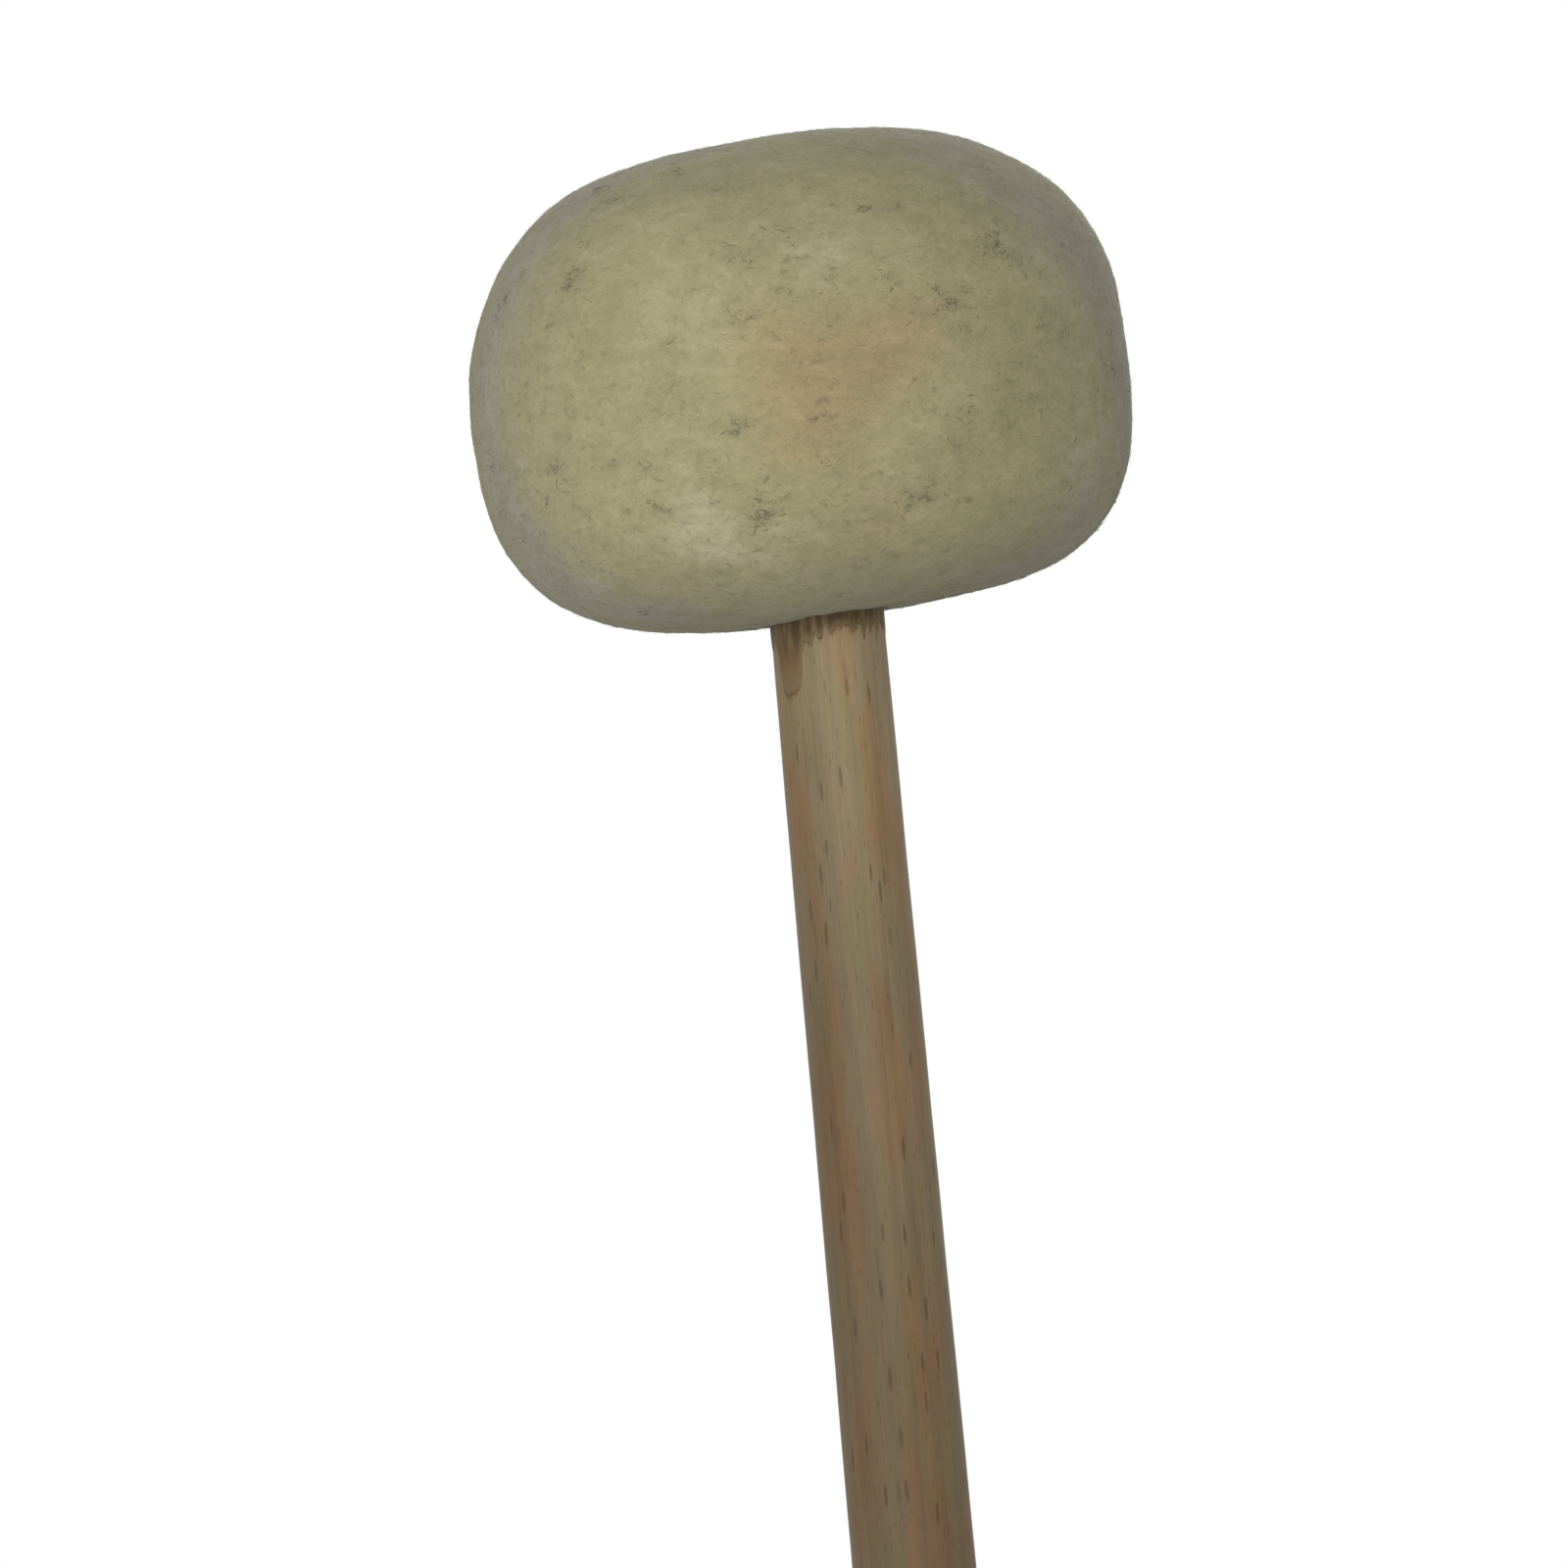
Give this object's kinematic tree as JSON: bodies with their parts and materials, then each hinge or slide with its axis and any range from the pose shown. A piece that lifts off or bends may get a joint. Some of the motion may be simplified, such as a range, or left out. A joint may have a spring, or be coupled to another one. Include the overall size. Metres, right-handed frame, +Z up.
{
  "type": "singing bowl mallet",
  "caption": "Mallet for striking or rubbing a singing bowl: a thick rounded wool-felt head over a padded wooden core, on a long tapered beech handle.",
  "frame": {"origin": "centre of the small flat on the handle's butt", "axes": "+Z up the handle to the head; -Y is the front, the side that the picture shows; +X is to the right seen from the front"},
  "size_m": [0.0805, 0.0804, 0.2946],
  "materials": {
    "beech": "oiled, hand-worn beech, darker towards the grip",
    "core_wood": "bare turned wood",
    "outer_felt": "dense moulded wool felt, olive beige with pink and grey mottling",
    "inner_felt": "undyed pressed wool felt",
    "zinc_steel": "zinc-plated steel",
    "dried_glue": "hardened brown glue, satin"
  },
  "bodies": {
    "root": {"handle": "beech", "head_core": "core_wood", "core_washer": "zinc_steel", "core_screw": "zinc_steel", "lower_pad": "inner_felt", "side_wrap": "inner_felt", "upper_pad": "inner_felt", "felt_cover": "outer_felt", "glue_collar": "dried_glue"}
  },
  "joints": []
}
